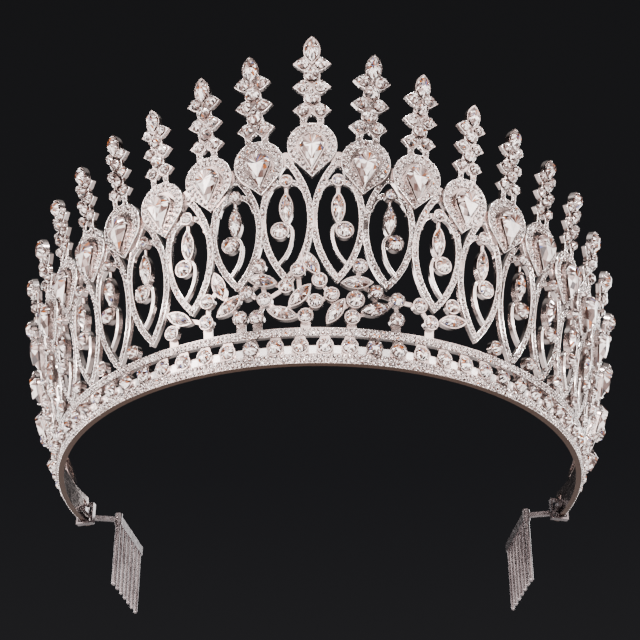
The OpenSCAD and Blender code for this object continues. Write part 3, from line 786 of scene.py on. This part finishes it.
# Half metallic, so that the near-white plates stay bright from every side: in part a painted highlight.
BRIGHT_PAINTED_HIGHLIGHT.node_tree.nodes["Principled BSDF"].inputs["Metallic"].default_value = 0.45
GLASS = glass("foil_backed_crystal_painted_reflections", (0.03, 0.1), 0.6, 1100, 0.2)
PAVE_GLASS = glass("pave_crystal_painted_reflections", (0.08, 0.2), 0.15, 1500, 0.15)


def repaint(node, material):
    nodes[node].data.materials.clear()
    nodes[node].data.materials.append(material)


repaint("crown_frame", SILVER)
for side_name in ("left", "right"):
    repaint("comb_" + side_name, COMB_WIRE)
    repaint("comb_tie_" + side_name, COMB_WIRE)

# Main stones, cut finely, each in place of its plain solid
claws = Parts()
rng = random.Random(7)
fields = {}
TIP_STONE_H = 1.2 * STONE_H
PEAR_MIDDLE_DROP = 0.8
CLAW_UP = 0.4


def field(name):
    return fields.setdefault(name, Parts())


def set_claws(place, h, spots, z, inward=(0, 0), size=1.0):
    here = place @ move(0, 0, z)
    for x, y in spots:
        claw(claws, here, x, y, CLAW_UP * h, inward, size)


def ring_spots(d, n, first):
    return [(d / 2 * cos(first + 360 * i / n), d / 2 * sin(first + 360 * i / n)) for i in range(n)]


def marquise_spots(l, w):
    return [(0, l / 2), (0, -l / 2)] + [(0.44 * w * x, 0.16 * l * y) for y in (1, -1) for x in (1, -1)]


def round_stone(name, place, d, claw_count, first, size, sides=16):
    cut_stone(field(name), place @ move(0, 0, STONE_Z), round_outline(d, sides), STONE_H, rng)
    set_claws(place, STONE_H, ring_spots(d, claw_count, first), STONE_Z, (0, 0), size)


def marquise_stone(name, place, l, w):
    cut_stone(field(name), place @ move(0, 0, STONE_Z), marquise_outline(l, w), STONE_H, rng)
    set_claws(place, STONE_H, marquise_spots(l, w), STONE_Z, (0, 0), 0.8)


def set_band_stones():
    for i in BAND_STONES:
        place = on_band((i + 0.5) * BAND_STEP, BAND_STONE_S)
        round_stone("band_stones", place, BAND_STONE_D, 4, 0 if i % 2 else 45, 1)


def set_oval_stones(u):
    f, place = oval_scale(u), on_wall(u, BAND_H)
    marquise_seat = place @ move(*oval_place(u, 0, MARQUISE_DROP))
    marquise_stone("oval_marquises", marquise_seat, f * MARQUISE_L, f * MARQUISE_W)
    round_seat = place @ move(*oval_place(u, ROUND_SIDE, ROUND_DROP))
    round_stone("oval_rounds", round_seat, f * OVAL_ROUND_D, 4, 45, 0.9)
    top_seat = place @ move(*oval_place(u, 0, TOP_DROP))
    round_stone("oval_top_stones", top_seat, f * OVAL_TOP_D, 3, 90, 0.8, 12)


def set_tip_stone(k):
    l, w = TIP_L * spike_scale(k), TIP_W * spike_scale(k)
    here = on_spike(k) @ move(0, tip_stone_up(k), PLATE_TOP + STONE_Z)
    cut_stone(field("tip_stones"), here, marquise_outline(l, w), TIP_STONE_H, rng)
    set_claws(here, TIP_STONE_H, marquise_spots(l, w), 0, (0, 0), 0.9)


def set_spray_stone(row):
    here = on_row(row)
    if row[0] == MARQUISE:
        marquise_stone("spray_marquises", here, SPRAY_L, SPRAY_W)
        return
    d = row[3] * SPRAY_D
    cut_stone(field("spray_rounds"), here @ move(0, 0, STONE_Z), round_outline(d), STONE_H, rng)
    set_claws(here, STONE_H, ring_spots(d, 4, 45 + rng.uniform(-20, 20)), STONE_Z, (0, 0), 0.85)


def set_pear_stone(k):
    m = wall_row(k)[SIZE]
    name = "pear_stone_front" if k == 0 else "pear_stone_%s_%d" % ("left" if k < 0 else "right", abs(k))
    here = on_spike(k) @ move(0, PEAR_UP * m, PEAR_SEAT + STONE_GAP)
    middle = (0, -PEAR_MIDDLE_DROP * m)
    outline = teardrop_outline(PEAR_R * m, PEAR_DROP * m)
    parts = Parts()
    cut_stone(parts, here, outline, PEAR_H, rng, middle, 0.68, None, PEAR_UPPER_REFLECTIONS, 0.64)
    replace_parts(parts.make(name + "_cut", GLASS), name)
    set_claws(here, PEAR_H, ring_spots(2 * PEAR_R * m, 4, 0)[:3] + [(0, -PEAR_DROP * m)], 0, middle, 1.1)


set_band_stones()
for u in OVALS:
    set_oval_stones(u)
for k in SPIKES:
    set_tip_stone(k)
for row in SPRAY:
    set_spray_stone(row)
for name, parts in fields.items():
    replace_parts(parts.make(name + "_cut", GLASS), name)
for k in SPIKES:
    set_pear_stone(k)

# One cut stone in each leaf and bud
LEAF_STONE_D, BUD_STONE_D, LEAF_STONE_X = 3.5, 4.2, 0.45
LEAF_STONE_H, BUD_STONE_H, LEAF_STONE_SINK = 1.3, 1.7, 0.12
leaf_stones = Parts()


def leaf_spots(k):
    """Place, size, seat height and depth of each leaf's and bud's stone on a spike."""
    g, tiers = spike_scale(k), wall_row(k)[TIERS]
    for tier in range(tiers):
        for side in (-1, 1):
            x = side * g * (LEAF_SIDE + LEAF_STONE_X)
            yield x, leaf_up(k, tier), g * LEAF_STONE_D, RELIEF_H, LEAF_STONE_H
    for tier in range(tiers - 1):
        yield 0, leaf_up(k, tier) - leaf_pitch(k) / 2, g * BUD_STONE_D, BUD_H, BUD_STONE_H


for k in SPIKES:
    for x, y, d, up, h in leaf_spots(k):
        here = on_spike(k) @ move(x, y, PLATE_TOP + up - LEAF_STONE_SINK) @ turn("Z", rng.uniform(0, 30))
        here = here @ turn("X", rng.uniform(-3, 3)) @ turn("Y", rng.uniform(-3, 3))
        cut_stone(leaf_stones, here, round_outline(d, 12), h, rng, (0, 0), 0.5, LEAF_REFLECTIONS)
leaf_stones.make("leaf_and_bud_stones", GLASS)

# Pave and polished edges
RIM_PITCH, RIM_PAVE_D = 1.32, 1.36
ARCH_PITCH, ARCH_PAVE_D, ARCH_PAVE_OUT, TOP_PAVE_D = 1.25, 1.25, 0.75, 1.2
SPIKE_PAVE_D, SPIKE_GRID_X, SPIKE_GRID_Y, LEAF_POINT_X = 1.3, 1.25, 1.08, 2.3
SPIKE_EDGE_IN, SPIKE_EDGE_R, OVAL_EDGE_IN, OVAL_EDGE_R = 0.14, 0.15, 0.11, 0.12
SETTING_CLEAR = 0.45
# Each row of the halo: how far in, pitch and stone size
HALO_ROWS = [(0.86, 1.85, 1.42), (2.02, 1.3, 1.15)]
# Each row of the band: height, stone size and where the first stone is, in stones
BAND_ROWS = [
    (0.74, 1.32, 0),
    (2.06, 1.32, 0.5),
    (BAND_H - HIGH_RAIL + 0.62, 1.18, 0.25),
    (BAND_H - 0.62, 1.18, 0.75),
]
# Each stone over an oval's top stone: across, and down from the oval's top
TOP_PAVE = [(0, 0.8), (0.7, 1.9), (-0.7, 1.9), (0, 3)]
pave = Pave(11)
edges = Parts()


def block_marquise(place, l, w):
    for t in (-0.72, -0.5, -0.25, 0, 0.25, 0.5, 0.72):
        pave.block(place @ Vector((0, t * l / 2, 0)), w / 2 * (1 - t * t) + 0.35)


def keep_clear_of_settings():
    """Stones already set keep the pave away from them."""
    for i in BAND_STONES:
        place = on_band((i + 0.5) * BAND_STEP, BAND_STONE_S)
        pave.block(place @ Vector((0, 0, STRIP_T)), BAND_STONE_D / 2 + 0.2)
    for u in OVALS:
        here = on_wall(u, BAND_H) @ Vector((*oval_place(u, 0, TOP_DROP), 0))
        pave.block(here, oval_scale(u) * OVAL_TOP_D / 2 + SETTING_CLEAR)
    for row in SPRAY:
        if row[0] == MARQUISE:
            block_marquise(on_row(row), SPRAY_L, SPRAY_W)
        else:
            pave.block(on_row(row) @ Vector((0, 0, 0)), row[3] * SPRAY_D / 2 + SETTING_CLEAR)


def pave_medallion(k):
    """Two rows round the pear stone."""
    m, place = wall_row(k)[SIZE], on_spike(k)
    for inset, pitch, d in HALO_ROWS:
        r, drop = MEDALLION_R * m - inset, MEDALLION_DROP * m - 1.45 * inset
        for x, y, a in along(teardrop_outline(r, drop, 40), pitch, True):
            y += HALO_UP * m
            if sd_medallion(k, x, y) <= -0.4:
                pave.put(place, x, y, PLATE_TOP + RELIEF_H, d, 0.8, a)


def free_room(k, x, y):
    """How far a point on a spike is from its edge, its tip stone and its medallion."""
    x, y = np.array(x), np.array(y)
    return min(-sd_spike(k, x, y), sd_tip(k, x, y, 0.2), sd_medallion(k, x, y) + 0.1)


def plate_height(k, x, y):
    x, y = np.array(x), np.array(y)
    if sd_buds(k, x, y) < -0.2:
        return PLATE_TOP + BUD_H
    return PLATE_TOP + (RELIEF_H if sd_leaves(k, x, y, -0.5) < 0 else 0.5 * RELIEF_H)


def spike_spots(k):
    """Leaf points, then the two legs, then a staggered grid over the rest."""
    g, foot = spike_scale(k), NECK_UP * wall_row(k)[SIZE]
    for tier in range(wall_row(k)[TIERS]):
        for side in (-1, 1):
            yield side * g * (LEAF_SIDE + LEAF_POINT_X), leaf_up(k, tier)
    for side in (-1, 1):
        for t in range(6):
            yield side * LEG_SIDE * g, foot - 0.8 + t * SPIKE_GRID_X
    for row in range(int(tip_up(k) / 1.1)):
        for col in range(-4, 5):
            yield (col + 0.5 * (row % 2)) * SPIKE_GRID_X, foot - 1 + row * SPIKE_GRID_Y


def pave_spike(k):
    place, largest = on_spike(k), SPIKE_PAVE_D * max(spike_scale(k), 0.9)
    for x, y in spike_spots(k):
        free = free_room(k, x, y)
        if free > 0.42:
            pave.put(place, x, y, plate_height(k, x, y), min(largest, 2 * (free - 0.02)), 0.75)


def edge_spike(k):
    def height(x, y):
        up = np.clip(0.5 - sd_medallion(k, x, y) * 2, 0, 1)
        return PLATE_TOP + 0.05 + 0.8 * RELIEF_H * up

    m = wall_row(k)[SIZE]
    reach = MEDALLION_R * m + 1
    top = tip_up(k) + 1.5
    for line in outline_of(lambda x, y: sd_spike(k, x, y), -reach, reach, -8 * m, top, -SPIKE_EDGE_IN):
        edge_wire(edges, on_spike(k), line, height, SPIKE_EDGE_R)


def spike_cover(u):
    """A test that says whether a point on an oval is under a spike, or within reach of one."""
    over = [(k, on_spike(k).inverted() @ on_wall(u, BAND_H)) for k in (math.floor(u), math.ceil(u))]

    def covered(x, y, reach=0.5):
        for k, m in over:
            p = m @ Vector((x, y, 0))
            if sd_spike(k, np.array(p.x), np.array(p.y)) < reach:
                return True
        return False

    return covered


def pave_oval(u, covered):
    place, l, w = on_wall(u, BAND_H), oval_h(u), oval_w(u)
    top = oval_top(u) - BAND_H
    r = (l * l + w * w) / (4 * w)
    half = math.degrees(math.asin(l / 2 / r))
    inset = OVAL_RIM / 2 - 0.05
    arc = [(w / 2 - r + (r - inset) * cos(a), (r - inset) * sin(a)) for a in np.linspace(-half, half, 60)]
    for side in (1, -1):
        for x, y, a in along([(side * x, top - l / 2 + y) for x, y in arc], RIM_PITCH):
            if y > 0.4 and not covered(x, y):
                pave.put(place, x, y, 0, RIM_PAVE_D, 0.85, a)
    cy, _, inner = oval_arch(u)
    ring = inner + ARCH_PAVE_OUT
    arch = [(ring * cos(a), cy + ring * sin(a)) for a in np.linspace(8, 172, 40)]
    for x, y, a in along(arch, ARCH_PITCH):
        if not covered(x, y) and sd_marquise(x, y - top + l / 2, l, w) < -0.5:
            pave.put(place, x, y, 0, ARCH_PAVE_D, 0.8, a)
    for x, drop in TOP_PAVE:
        if not covered(x, top - drop):
            pave.put(place, x, top - drop, 0, TOP_PAVE_D, 0.8)


def edge_oval(u, covered):
    place, w, top = on_wall(u, BAND_H), oval_w(u), oval_top(u) - BAND_H
    for line in outline_of(lambda x, y: sd_oval(u, x, y), -w, w, -1, top + 2, -OVAL_EDGE_IN, 0.34):
        run = []
        for x, y in line + [(None, None)]:
            if x is not None and y > 0.1 and not covered(x, y, 0.1):
                run.append((x, y))
                continue
            if len(run) > 4:
                edge_wire(edges, place, run, 0.0, OVAL_EDGE_R, 0.7, False, 4)
            run = []


def pave_band():
    """Two rows on each of the band's two strips."""
    for s, d, start in BAND_ROWS:
        r = BAND_R + s * sin(BAND_LEAN)
        n = int(2 * BAND_END / 360 * 2 * math.pi * r / (1.06 * d))
        for i in range(n):
            angle = -BAND_END + 2 * BAND_END * (i + start) / n
            if abs(angle) < BAND_END - 0.5:
                pave.put(on_band(angle, s), 0, 0, STRIP_T, d, 0.8, 22.5)


def bright_squares():
    """Bright plain plates on the band, between its stones, near white and half metallic: partly plated
    metal, partly a painted highlight.
    """
    squares = Parts()
    low, high, x, thick = PAVE_H + 0.15, LOW_RAIL - 0.15, 1.25, 0.12
    corners = [(-0.8 * x, low), (0.8 * x, low), (x, high), (-x, high)]
    points = [(a, b, 0.0) for a, b in corners] + [(0.92 * a, 0.96 * b, thick) for a, b in corners]
    faces = [(4, 5, 6, 7)] + [(j, (j + 1) % 4, 4 + (j + 1) % 4, 4 + j) for j in range(4)]
    for i in range(-2 * SIDE, 2 * SIDE + 1):
        squares.add(on_band(i * BAND_STEP, 0), points, faces)
    squares.make("bright_squares", BRIGHT_PAINTED_HIGHLIGHT, False, "plated_metal")


keep_clear_of_settings()
for k in SPIKES:
    for x, y, d, up, h in leaf_spots(k):
        pave.block(on_spike(k) @ Vector((x, y, PLATE_TOP + up)), d / 2 + 0.05)
    pave_medallion(k)
    pave_spike(k)
    edge_spike(k)
for u in OVALS:
    cover = spike_cover(u)
    pave_oval(u, cover)
    edge_oval(u, cover)
pave_band()
bright_squares()
pave.add_grains()
pave.parts.make("pave_stones", PAVE_GLASS)
pave.grains.make("pave_grains", POLISHED, True, "plated_metal")
edges.make("polished_edges", POLISHED, True, "plated_metal")
claws.make("stone_claws", POLISHED, True, "plated_metal")

# Scroll wires: two thin ridges along each, from the marquise's foot to the rim
SCROLL_RIDGE_SHIFT, SCROLL_RIDGE_R = 0.3, 0.2
scrolls = Parts()


def scroll_line():
    """The scroll's centre line in a full-size oval: a small turn, then a wide sweep."""
    cx, cy = -ROUND_SIDE + SCROLL_OUT, -ROUND_DROP - 0.4
    sweep_x = cx + TURN_R - SWEEP_R
    line = [(cx + TURN_R * cos(a), cy + TURN_R * sin(a)) for a in np.linspace(74, 0, 16)]
    return line + [(sweep_x + SWEEP_R * cos(a), cy + SWEEP_R * sin(a)) for a in np.linspace(-2, -46, 22)]


def ridge_scroll(u):
    # Its own mirrored half follows the side that the oval is on
    f, side, place = oval_scale(u), (-1 if u > 0 else 1), on_wall(u, BAND_H)
    top = oval_top(u) - BAND_H
    q = np.array(scroll_line()) * f
    t = np.gradient(q, axis=0)
    t /= np.hypot(*t.T)[:, None]
    for shift in (SCROLL_RIDGE_SHIFT, -SCROLL_RIDGE_SHIFT):
        bent = q + shift * np.c_[-t[:, 1], t[:, 0]] * f
        edge_wire(scrolls, place, [(side * x, top + y) for x, y in bent], 0.0, SCROLL_RIDGE_R, 0.6, False, 5)
    tail = [oval_place(u, 0, TOP_DROP + 1.9), oval_place(u, 0, MARQUISE_DROP - 4.2)]
    edge_wire(scrolls, place, [tail[0], tuple(np.mean(tail, axis=0)), tail[1]], 0.02, 0.25, 0.5, False, 5)


for u in OVALS:
    ridge_scroll(u)
scrolls.make("scroll_ridges", POLISHED, True, "plated_metal")


# Floor, light and camera
FLOOR_Z, FLOOR_HALF = -0.32, 6


def plain_floor():
    corners = [(x * FLOOR_HALF, y * FLOOR_HALF, FLOOR_Z) for x, y in ((-1, -1), (1, -1), (1, 1), (-1, 1))]
    mesh = bpy.data.meshes.new("floor")
    mesh.from_pydata(corners, [], [(0, 1, 2, 3)])
    floor = bpy.data.objects.new("floor", mesh)
    bpy.context.scene.collection.objects.link(floor)
    material, tree, shader = principled("pale_floor")
    noise = add_node(tree, "ShaderNodeTexNoise", Scale=1.0, Detail=2.0)
    tree.links.new(coords(tree, 2), noise.inputs["Vector"])
    pale = ramp(tree, noise.outputs["Fac"], [(0.3, (0.78,) * 3), (0.7, (0.82,) * 3)])
    tree.links.new(pale, shader.inputs["Base Color"])
    shader.inputs["Roughness"].default_value = 0.9
    mesh.materials.append(material)


def studio_world():
    """Dark all round at the crown's height, and softly lit from straight above and below."""
    world = bpy.data.worlds.new("studio")
    bpy.context.scene.world = world
    world.use_nodes = True
    tree = world.node_tree
    place = add_node(tree, "ShaderNodeTexCoord")
    split = add_node(tree, "ShaderNodeSeparateXYZ")
    tree.links.new(place.outputs["Generated"], split.inputs["Vector"])
    half = add_node(tree, "ShaderNodeMath", operation="MULTIPLY_ADD")
    half.inputs[1].default_value = 0.5
    half.inputs[2].default_value = 0.5
    tree.links.new(split.outputs["Z"], half.inputs[0])
    sky = ramp(tree, half.outputs["Value"], [
        (0.0, (0.30, 0.28, 0.27)), (0.42, (0.12, 0.115, 0.115)), (0.5, (0.035, 0.034, 0.036)),
        (0.72, (0.014, 0.014, 0.016)), (0.88, (0.012, 0.012, 0.013)), (0.94, (0.42, 0.41, 0.40)),
    ])
    tree.links.new(sky, tree.nodes["Background"].inputs["Color"])
    tree.nodes["Background"].inputs["Strength"].default_value = 0.9


def soft_light(name, place, target, size, power, colour=(1, 1, 1)):
    data = bpy.data.lights.new(name, "AREA")
    data.shape, data.size, data.energy, data.color = "DISK", size, power, colour
    lamp = bpy.data.objects.new(name, data)
    lamp.location = place
    lamp.rotation_mode = "QUATERNION"
    lamp.rotation_quaternion = (Vector(target) - Vector(place)).to_track_quat("-Z", "Y")
    bpy.context.scene.collection.objects.link(lamp)


def place_camera(azimuth, elevation, distance, lens, look_at):
    data = bpy.data.cameras.new("camera")
    data.sensor_width = 36
    data.lens = lens
    camera = bpy.data.objects.new("camera", data)
    out = distance * cos(elevation)
    camera.location = (out * sin(azimuth), -out * cos(azimuth), distance * sin(elevation))
    camera.rotation_mode = "QUATERNION"
    camera.rotation_quaternion = (Vector(look_at) - camera.location).to_track_quat("-Z", "Y")
    bpy.context.scene.collection.objects.link(camera)
    bpy.context.scene.camera = camera


plain_floor()
studio_world()
# Each lamp: where it is, what it faces, its width in metres, its power and its colour
WARM = (1.0, 0.885, 0.85)
soft_light("front_low", (0.10, -1.15, -0.22), (0, -0.05, 0.04), 0.34, 19, WARM)
soft_light("front_middle", (-0.05, -1.35, 0.26), (0, -0.05, 0.05), 0.9, 8, WARM)
soft_light("front_left", (-0.95, -0.85, 0.12), (0, -0.05, 0.05), 0.8, 18, WARM)
soft_light("front_right", (0.95, -0.75, 0.25), (0, -0.05, 0.05), 0.8, 9, WARM)
soft_light("front_high", (0.25, -0.7, 0.85), (0, 0, 0.06), 0.2, 14)
soft_light("left", (-1.2, 0.15, 0.2), (0, 0, 0.05), 0.3, 7, WARM)
soft_light("right", (1.2, 0.2, 0.1), (0, 0, 0.05), 0.3, 3, WARM)
soft_light("back_right", (0.8, 0.9, 0.5), (0, 0, 0.05), 0.6, 6)
soft_light("back_left", (-0.9, 0.7, 0.2), (0, 0, 0.05), 0.5, 5)
soft_light("floor_wash", (0, -0.5, 0.8), (0, -0.9, -0.32), 0.9, 2)

place_camera(azimuth=1.4, elevation=-25.04, distance=0.48, lens=86.5, look_at=(0, 0, 0.0624))
